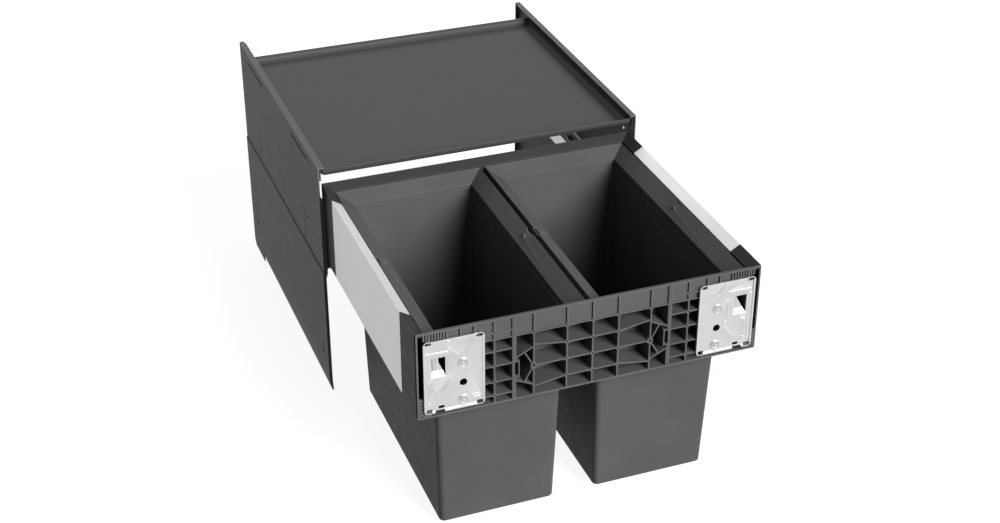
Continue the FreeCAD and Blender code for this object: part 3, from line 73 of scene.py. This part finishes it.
# ------------------------------------------------------------------- materials
class Shader:
    """A small builder for one procedural material."""

    def __init__(self, name):
        self.material = bpy.data.materials.new(name)
        self.material.use_nodes = True
        self.tree = self.material.node_tree
        self.tree.nodes.clear()
        self.output = self.tree.nodes.new("ShaderNodeOutputMaterial")
        self.surface = self.tree.nodes.new("ShaderNodeBsdfPrincipled")
        self.join(self.surface.outputs["BSDF"], self.output.inputs["Surface"])
        self.place = self.tree.nodes.new("ShaderNodeTexCoord").outputs["Object"]

    def join(self, source, target):
        self.tree.links.new(source, target)

    def add(self, kind, inputs=None, **settings):
        made = self.tree.nodes.new(kind)
        for key, value in settings.items():
            setattr(made, key, value)
        for key, value in (inputs or {}).items():
            if isinstance(value, bpy.types.NodeSocket):
                self.join(value, made.inputs[key])
            else:
                made.inputs[key].default_value = value
        return made

    def set(self, **values):
        """Uniform values, straight on the surface's own sockets."""
        for key, value in values.items():
            self.surface.inputs[key.replace("_", " ").title().replace("Ior", "IOR")].default_value = value

    def noise(self, scale, detail=3.0, rough=0.55, place=None):
        made = self.add("ShaderNodeTexNoise", {"Vector": place or self.place, "Scale": scale,
                                               "Detail": detail, "Roughness": rough})
        return made.outputs["Fac"]

    def stretched(self, x, y, z):
        """Object coordinates scaled per axis, for a grain that runs one way."""
        made = self.add("ShaderNodeMapping", {"Vector": self.place, "Scale": (x, y, z)})
        return made.outputs["Vector"]

    def span(self, source, low, high, out_low, out_high):
        made = self.add("ShaderNodeMapRange", {"Value": source, "From Min": low, "From Max": high,
                                               "To Min": out_low, "To Max": out_high})
        return made.outputs["Result"]

    def spread(self, noise, out_low, out_high):
        """Maps a noise's usual range to the range given."""
        return self.span(noise, NOISE_LOW, NOISE_HIGH, out_low, out_high)

    def blend(self, factor, first, second, mode="MIX"):
        made = self.add("ShaderNodeMix", data_type="RGBA", blend_type=mode)
        for index, value in ((0, factor), (6, first), (7, second)):
            if isinstance(value, bpy.types.NodeSocket):
                self.join(value, made.inputs[index])
            elif index:
                made.inputs[index].default_value = (*value, 1.0)
            else:
                made.inputs[index].default_value = value
        return made.outputs[2]

    def maths(self, operation, first, second=0.0):
        made = self.add("ShaderNodeMath", operation=operation)
        for index, value in enumerate((first, second)):
            if isinstance(value, bpy.types.NodeSocket):
                self.join(value, made.inputs[index])
            else:
                made.inputs[index].default_value = value
        return made.outputs[0]

    def edges(self, radius, gain):
        """A mask that is 1 along sharp edges and 0 on flat stretches."""
        rounded = self.add("ShaderNodeBevel", {"Radius": radius}, samples=4).outputs["Normal"]
        flat = self.add("ShaderNodeNewGeometry").outputs["Normal"]
        alike = self.add("ShaderNodeVectorMath", {0: rounded, 1: flat}, operation="DOT_PRODUCT")
        return self.span(alike.outputs["Value"], 1.0 - gain, 1.0, 1.0, 0.0)

    def bump(self, height, strength, distance, before=None):
        made = self.add("ShaderNodeBump", {"Height": height, "Strength": strength, "Distance": distance})
        if before is not None:
            self.join(before, made.inputs["Normal"])
        return made.outputs["Normal"]

    def finish(self, colour, roughness, normal):
        self.join(colour, self.surface.inputs["Base Color"])
        self.join(roughness, self.surface.inputs["Roughness"])
        self.join(normal, self.surface.inputs["Normal"])
        return self.material


def moulded_plastic(name, tone, grain, gloss, highlight_gain):
    """Fine spark-eroded grain, faint flow clouds, and a patchy painted highlight along the edges."""
    shader = Shader(name)
    shader.set(specular_ior_level=0.04)
    clouds = shader.noise(scale=9.0, detail=4.0)
    specks = shader.noise(scale=900.0, detail=2.0)
    dark = tinted(tone, 0.90)
    light = tinted(tone, 1.12)
    # Edges are painted up to this many times lighter: a painted highlight, not wear.
    edge_highlight = tinted(tone, highlight_gain, lift=0.01)
    base = shader.blend(shader.spread(clouds, 0.0, 1.0), dark, light)
    speckled = shader.blend(shader.span(specks, 0.35, 0.65, 0.0, 0.35), base, light)
    # The painted edge highlight is patchy, following the flow clouds.
    highlight_patches = shader.span(clouds, NOISE_LOW, 0.6, 0.35, 0.8)
    edge_highlight_mask = shader.maths("MULTIPLY", shader.edges(radius=0.0012, gain=0.10), highlight_patches)
    colour = shader.blend(edge_highlight_mask, speckled, edge_highlight)
    scuffs = shader.noise(scale=55.0, detail=6.0, rough=0.7)
    rough = shader.spread(scuffs, gloss - 0.06, gloss + 0.07)
    pits = shader.add("ShaderNodeTexVoronoi", {"Vector": shader.place, "Scale": grain}).outputs["Distance"]
    fine = shader.bump(pits, strength=0.22, distance=0.00012)
    coarse = shader.bump(shader.noise(scale=14.0, detail=2.0), strength=0.05, distance=0.001, before=fine)
    return shader.finish(colour, rough, coarse)


def powder_coat(name, tone, gloss):
    """Baked powder: a tight orange peel, faint mottling, and a thin painted highlight along the edges."""
    shader = Shader(name)
    shader.set(specular_ior_level=0.05)
    clouds = shader.noise(scale=3.0, detail=2.0)
    peel = shader.noise(scale=620.0, detail=2.0, rough=0.4)
    dark = tinted(tone, 0.97)
    light = tinted(tone, 1.05)
    # A much lighter tone painted along the edges: a painted highlight.
    edge_highlight_tone = tinted(tone, 3.0, lift=0.02)
    base = shader.blend(shader.spread(clouds, 0.0, 1.0), dark, light)
    grainy = shader.blend(shader.span(peel, 0.4, 0.7, 0.0, 0.25), base, light)
    edge_highlight_mask = shader.maths("MULTIPLY", shader.edges(radius=0.0010, gain=0.12), 0.55)
    colour = shader.blend(edge_highlight_mask, grainy, edge_highlight_tone)
    rough = shader.spread(shader.noise(scale=40.0, detail=5.0, rough=0.65), gloss - 0.02, gloss + 0.02)
    fine = shader.bump(peel, strength=0.14, distance=0.0001)
    coarse = shader.bump(shader.noise(scale=120.0, detail=1.0), strength=0.03, distance=0.0002, before=fine)
    return shader.finish(colour, rough, coarse)


def silver_lacquer(name, tone):
    """Satin silver over steel: tiny flakes, a soft lengthwise drawing grain, and a painted glint along the
    edges.
    """
    shader = Shader(name)
    shader.set(metallic=0.50)
    flakes = shader.add("ShaderNodeTexVoronoi", {"Vector": shader.place, "Scale": 2600.0}).outputs["Color"]
    sparkle = shader.add("ShaderNodeSeparateColor", {"Color": flakes}).outputs[0]
    grain = shader.noise(scale=1.0, detail=4.0, rough=0.6, place=shader.stretched(900.0, 14.0, 900.0))
    dark = tinted(tone, 0.97)
    light = tinted(tone, 1.03)
    base = shader.blend(shader.spread(grain, 0.0, 1.0), dark, light)
    flaked = shader.blend(shader.span(sparkle, 0.7, 1.0, 0.0, 0.30), base, light)
    # Edges painted near white: a painted highlight.
    painted_edge_glint = shader.maths("MULTIPLY", shader.edges(radius=0.0009, gain=0.12), 0.5)
    colour = shader.blend(painted_edge_glint, flaked, (0.9, 0.9, 0.9))
    smudges = shader.noise(scale=18.0, detail=5.0, rough=0.65)
    rough = shader.spread(smudges, 0.40, 0.44)
    fine = shader.bump(grain, strength=0.05, distance=0.0001)
    coarse = shader.bump(shader.noise(scale=700.0, detail=2.0), strength=0.05, distance=0.0001, before=fine)
    return shader.finish(colour, rough, coarse)


def zinc_plate(name, tone, rough_low, rough_high):
    """Bright zinc on pressed steel: spangle, rolling grain, duller patches, and a painted glint along the
    edges.
    """
    shader = Shader(name)
    shader.set(metallic=0.9)
    spangle = shader.add("ShaderNodeTexVoronoi", {"Vector": shader.place, "Scale": 900.0}).outputs["Color"]
    facet = shader.add("ShaderNodeSeparateColor", {"Color": spangle}).outputs[0]
    grain = shader.noise(scale=1.0, detail=4.0, rough=0.6, place=shader.stretched(60.0, 60.0, 1800.0))
    patches = shader.noise(scale=42.0, detail=4.0)
    dark = tinted(tone, 0.93)
    light = tinted(tone, 1.06)
    dull = tinted(tone, 0.82)
    base = shader.blend(shader.span(facet, 0.0, 1.0, 0.0, 1.0), dark, light)
    rolled = shader.blend(shader.span(grain, 0.35, 0.7, 0.0, 0.35), base, light)
    stained = shader.blend(shader.span(patches, 0.55, 0.75, 0.0, 0.5), rolled, dull)
    # Edges painted near white: a painted highlight.
    painted_edge_glint = shader.maths("MULTIPLY", shader.edges(radius=0.0006, gain=0.12), 0.6)
    colour = shader.blend(painted_edge_glint, stained, (0.95, 0.95, 0.96))
    rough = shader.spread(patches, rough_low, rough_high)
    fine = shader.bump(grain, strength=0.08, distance=0.0001)
    return shader.finish(colour, rough, shader.bump(facet, strength=0.04, distance=0.0002, before=fine))


def natural_plastic(name, tone):
    """Unpigmented plastic of the roller cages, slightly waxy."""
    shader = Shader(name)
    shader.set(subsurface_weight=0.15, subsurface_scale=0.002)
    clouds = shader.noise(scale=120.0, detail=3.0)
    dark = tinted(tone, 0.88)
    colour = shader.blend(shader.spread(clouds, 0.0, 1.0), dark, tone)
    rough = shader.spread(shader.noise(scale=300.0), 0.38, 0.5)
    return shader.finish(colour, rough, shader.bump(shader.noise(scale=800.0), strength=0.1, distance=0.0001))


FINISHES = {
    "panel_paint": powder_coat("panel_paint_look", (0.080, 0.075, 0.077), 0.48),
    "tray_paint": powder_coat("tray_paint_look", (0.044, 0.042, 0.040), 0.42),
    "zinc": zinc_plate("zinc_look", (0.50, 0.505, 0.505), 0.30, 0.40),
    "steel": zinc_plate("steel_look", (0.42, 0.42, 0.425), 0.30, 0.40),
    "silver_paint": silver_lacquer("silver_paint_look", (0.66, 0.66, 0.665)),
    # The last number of each plastic is how much lighter its edges are painted, a painted highlight.
    "dark_plastic": moulded_plastic("dark_plastic_look", (0.028, 0.027, 0.028), 1500.0, 0.47, 2.0),
    "bin_plastic": moulded_plastic("bin_plastic_look", (0.060, 0.057, 0.058), 1100.0, 0.50, 1.8),
    "cage_plastic": natural_plastic("cage_plastic_look", (0.70, 0.69, 0.64)),
}
# A node named here gets this finish instead of its slot's. The front bracket gets a lighter copy of the dark
# plastic, with a stronger painted edge highlight, standing in for the light on its ribs.
FINISH_OF = {
    "front_bracket": moulded_plastic("bracket_look", (0.066, 0.063, 0.065), 1500.0, 0.47, 2.4),
}
slot_of = {part["node"]: part["material_slot"] for part in frame["record"]["subparts"]}
body_of = {node: body for body, members in frame["record"]["behaviour"]["bodies"].items()
           for node in members}


# ----------------------------------------------------------------- mesh helpers
def as_object(name, shape, node, edge):
    """Turns a bmesh into a piece that stands for a CAD node, with rounded edges."""
    mesh = bpy.data.meshes.new(name)
    for face in shape.faces:
        face.smooth = True
    for line in shape.edges:
        line.smooth = len(line.link_faces) == 2 and line.calc_face_angle(0.0) < SMOOTH_ANGLE
    shape.to_mesh(mesh)
    shape.free()
    piece = bpy.data.objects.new(name, mesh)
    bpy.context.scene.collection.objects.link(piece)
    if edge:
        rounding = piece.modifiers.new("rounded_edges", "BEVEL")
        rounding.width = edge
        rounding.segments = ROUNDING_SEGMENTS
        rounding.limit_method = "ANGLE"
        rounding.angle_limit = SMOOTH_ANGLE
        rounding.use_clamp_overlap = True
        rounding.harden_normals = True
        rounding.miter_outer = "MITER_ARC"
    mesh.materials.append(FINISH_OF.get(node, FINISHES[slot_of[node]]))
    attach(piece, body_of[node])
    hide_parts(node)
    return piece


def refined(node, edge):
    """The CAD node's own shape, welded into one surface and given rounded edges."""
    shape = bmesh.new()
    shape.from_mesh(nodes[node].data)
    bmesh.ops.remove_doubles(shape, verts=shape.verts, dist=0.002 * MM)
    return as_object(f"{node}_look", shape, node, edge)


# How far each kind of node has its sharp edges rounded; the first name found in a node's counts.
EDGE = {
    "side_panel": 0.0, "cover_tray": 0.5 * MM, "tray_clip": 0.3 * MM, "cabinet_rail": 0.3 * MM,
    "middle_rail": 0.25 * MM, "drawer_rail": 0.3 * MM, "roller_cage": 0.15 * MM, "rollers": 0.2 * MM,
    "drawer_side": 0.5 * MM, "front_corner": 0.5 * MM, "rear_corner": 0.5 * MM, "rear_frame": 0.6 * MM,
    "front_bracket": 0.3 * MM, "front_plate": 0.15 * MM, "rivets": 0.12 * MM, "screws": 0.4 * MM,
    "bin_handle": 0.8 * MM, "handle_pins": 0.2 * MM, "bin": 0.8 * MM,
}


def build_pieces():
    """Every CAD node gets its piece, in the nodes' alphabetical order."""
    for node in sorted(nodes):
        kind = next(kind for kind in EDGE if kind in node)
        refined(node, EDGE[kind])


# ---------------------------------------------------------------- floor, lights
def floor():
    """A wide, level, pale floor. It glows to stay white, and doesn't light the unit from below."""
    shape = bmesh.new()
    bmesh.ops.create_grid(shape, x_segments=8, y_segments=8, size=FLOOR_REACH)
    mesh = bpy.data.meshes.new("floor")
    shape.to_mesh(mesh)
    shape.free()
    ground = bpy.data.objects.new("floor", mesh)
    ground.location.z = -FLOOR_DROP
    ground.visible_diffuse = False
    bpy.context.scene.collection.objects.link(ground)
    shader = Shader("floor_look")
    shader.set(specular_ior_level=0.1, emission_color=WHITE, emission_strength=FLOOR_GLOW)
    cloud = shader.spread(shader.noise(scale=2.0), 0.0, 1.0)
    colour = shader.blend(cloud, (0.15, 0.15, 0.15), (0.17, 0.17, 0.17))
    rough = shader.spread(shader.noise(scale=30.0), 0.75, 0.85)
    dust = shader.bump(shader.noise(scale=200.0), strength=0.02, distance=0.001)
    mesh.materials.append(shader.finish(colour, rough, dust))


def area_light(name, place, target, size, power):
    lamp = bpy.data.lights.new(name, "AREA")
    lamp.shape = "RECTANGLE"
    lamp.size, lamp.size_y = size
    lamp.energy = power
    holder = bpy.data.objects.new(name, lamp)
    holder.location = place
    holder.rotation_euler = (Vector(target) - Vector(place)).to_track_quat("-Z", "Y").to_euler()
    bpy.context.scene.collection.objects.link(holder)


def sun_light(name, towards, spread, strength):
    """A wide, soft directional light that comes from the direction given."""
    lamp = bpy.data.lights.new(name, "SUN")
    lamp.angle = math.radians(spread)
    lamp.energy = strength
    holder = bpy.data.objects.new(name, lamp)
    holder.rotation_euler = Vector(towards).to_track_quat("Z", "Y").to_euler()
    bpy.context.scene.collection.objects.link(holder)


def lights():
    """A soft key light from the front right, a softbox behind, and a pale surround."""
    world = bpy.data.worlds.new("studio")
    world.use_nodes = True
    background = world.node_tree.nodes["Background"]
    background.inputs["Color"].default_value = WHITE
    background.inputs["Strength"].default_value = WORLD_GLOW
    bpy.context.scene.world = world
    sun_light("key_light", (0.36, -0.82, 0.48), 34.0, 7.0)
    area_light("back_softbox", (0.2, 2.2, 1.7), (0, 0, 0.3), (2.6, 1.4), 26.0)
    view = bpy.context.scene.view_settings
    view.view_transform = "Standard"
    view.look = "None"


def camera():
    """Looks at the unit from the front, turned left and from above."""
    level = math.cos(CAMERA_ELEVATION)
    back = Vector((math.sin(CAMERA_AZIMUTH) * level, -math.cos(CAMERA_AZIMUTH) * level,
                   math.sin(CAMERA_ELEVATION)))
    lens = bpy.data.cameras.new("camera")
    lens.lens = LENS_MM
    lens.sensor_width = SENSOR_MM
    eye = bpy.data.objects.new("camera", lens)
    eye.location = CAMERA_PLACE
    eye.rotation_euler = back.to_track_quat("Z", "Y").to_euler()
    bpy.context.scene.collection.objects.link(eye)
    bpy.context.scene.camera = eye


build_pieces()
floor()
lights()
camera()
